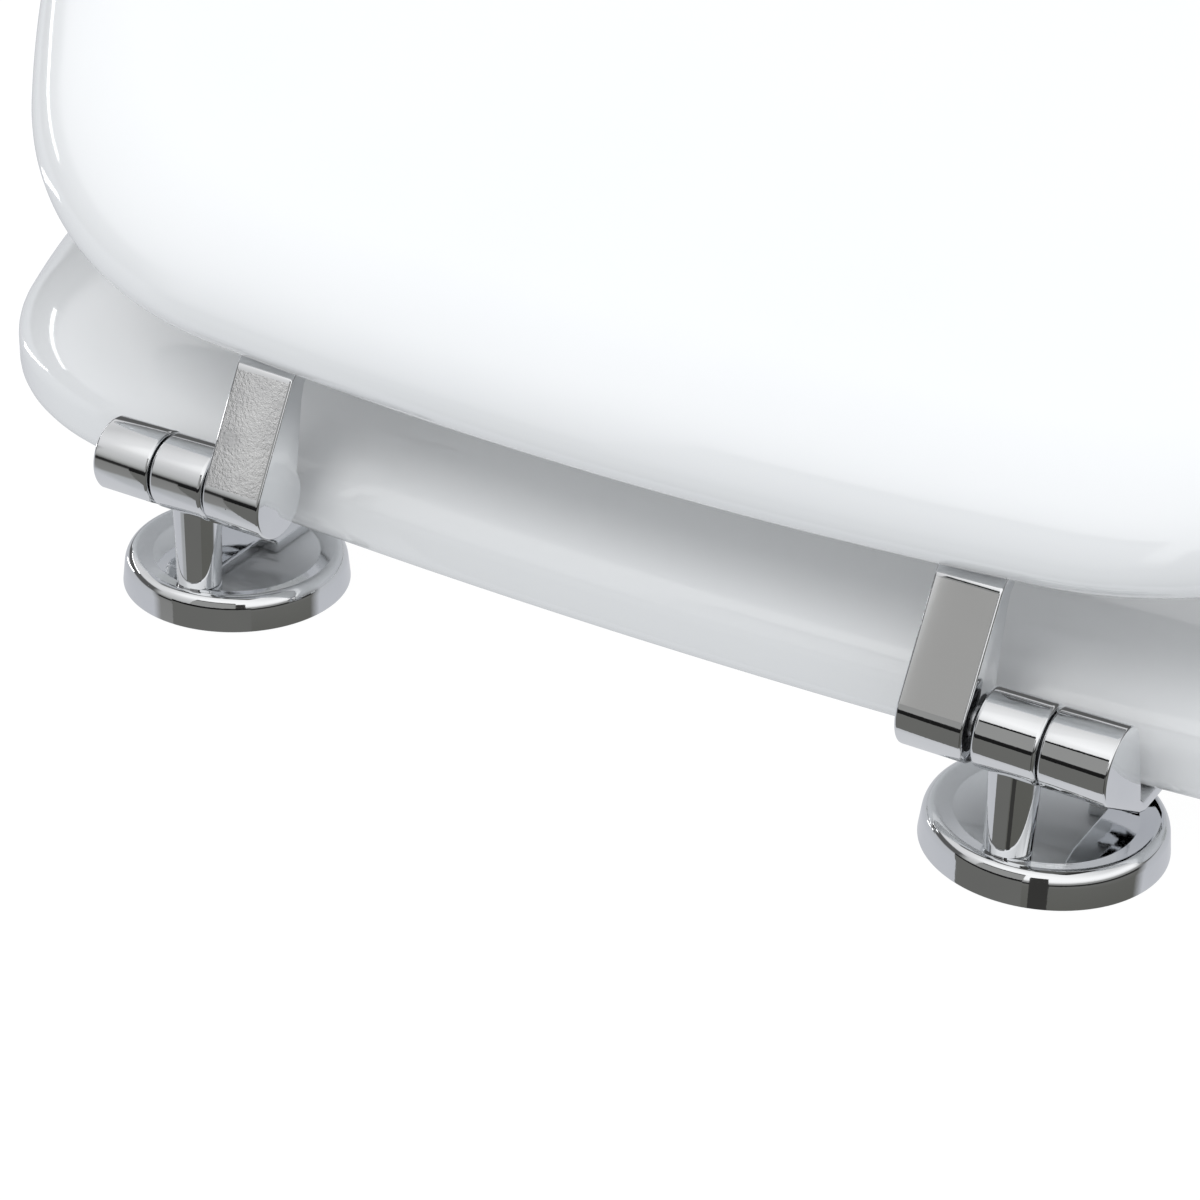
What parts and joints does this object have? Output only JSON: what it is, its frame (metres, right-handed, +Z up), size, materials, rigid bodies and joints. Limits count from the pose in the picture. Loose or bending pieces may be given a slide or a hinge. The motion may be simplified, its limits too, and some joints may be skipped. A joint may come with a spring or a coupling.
{
  "type": "toilet seat",
  "caption": "Toilet seat with a domed ring and a rounded lid that turn together on chromed pillar hinges with round covers.",
  "frame": {"origin": "midway between the two fixing holes, on the top face of the pan, which is the underside of the covers, pads and ring buffers", "axes": "+X along the hinge axis towards the hinge on the right in the picture, +Y from the hinges to the nose of the seat, +Z up from the pan"},
  "size_m": [0.369, 0.4396, 0.2511],
  "materials": {
    "white_lacquer": "gloss",
    "chrome": "polished",
    "zinc": "satin",
    "steel": "satin",
    "bush_nylon": "matte",
    "pad_rubber": "matte",
    "buffer_plastic": "satin"
  },
  "bodies": {
    "base": {"cover_left": "chrome", "cover_right": "chrome", "base_plate_left": "zinc", "base_plate_right": "zinc", "base_pad_left": "pad_rubber", "base_pad_right": "pad_rubber", "pillar_left": "chrome", "pillar_right": "chrome", "pillar_screw_left": "steel", "pillar_screw_right": "steel", "eye_bush_left": "bush_nylon", "eye_bush_right": "bush_nylon"},
    "ring": {"seat_ring": "white_lacquer", "hinge_pin_left": "steel", "hinge_pin_right": "steel", "seat_arm_left": "chrome", "seat_arm_right": "chrome", "seat_arm_screws": "steel", "ring_buffer_back_left": "buffer_plastic", "ring_buffer_back_right": "buffer_plastic", "ring_buffer_front_left": "buffer_plastic", "ring_buffer_front_right": "buffer_plastic"},
    "lid": {"lid": "white_lacquer", "lid_arm_left": "chrome", "lid_arm_right": "chrome", "lid_arm_screws": "steel", "lid_buffer_left": "buffer_plastic", "lid_buffer_right": "buffer_plastic"}
  },
  "joints": [
    {"name": "seat_hinge", "type": "hinge", "parent": "base", "child": "ring", "pos_m": [0, -0.0126, 0.0258], "axis": [1, 0, 0], "range_deg": [0, 93]},
    {"name": "lid_hinge", "type": "hinge", "parent": "ring", "child": "lid", "pos_m": [0, -0.0126, 0.0258], "axis": [1, 0, 0], "range_deg": [-28, 67]}
  ]
}
